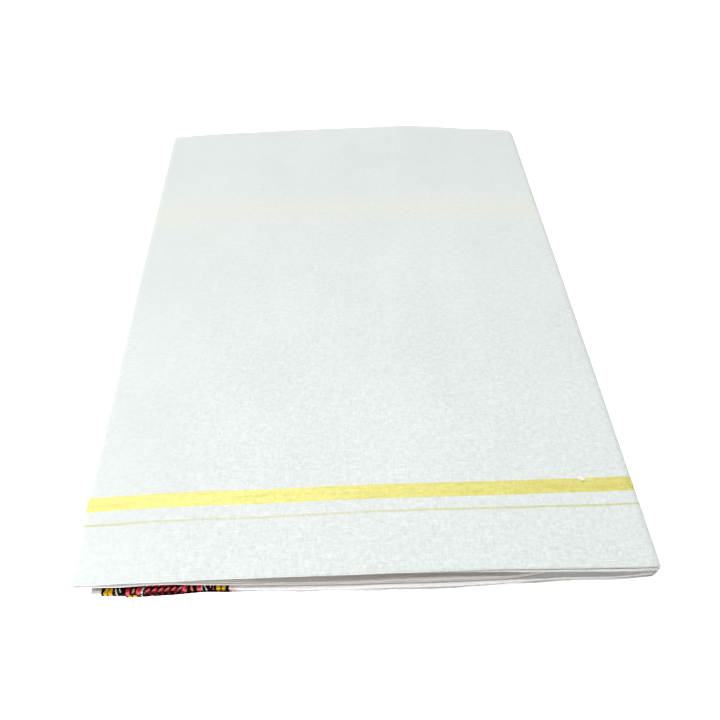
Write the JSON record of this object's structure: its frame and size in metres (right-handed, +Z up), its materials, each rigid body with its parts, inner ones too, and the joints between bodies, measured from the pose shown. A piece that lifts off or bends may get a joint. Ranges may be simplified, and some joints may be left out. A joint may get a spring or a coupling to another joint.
{
  "type": "folded dhoti cloth",
  "caption": "White cotton dhoti folded into a flat rectangular packet, with a woven zari stripe across the top and a coloured selvedge border at one side.",
  "frame": {"origin": "middle of the packet, on the surface it lies on", "axes": "+X across the packet towards the outer side fold, +Y along the packet from its front folds to its back folds, +Z up"},
  "size_m": [0.3224, 0.4588, 0.0167],
  "materials": {
    "white_cotton": "matt plain-woven cotton with a fine lemon-gold zari stripe woven across it",
    "inner_cotton": "matt plain-woven cotton, the hidden leaves",
    "upper_border": "black ground with woven red, pink, orange, yellow and white figures",
    "lower_border": "black ground with woven red, pink, orange, yellow and white figures"
  },
  "bodies": {
    "root": {"outer_wrap": "white_cotton", "inner_leaves": "inner_cotton", "border_third_leaf": "upper_border", "border_base_leaf": "lower_border"}
  },
  "joints": []
}
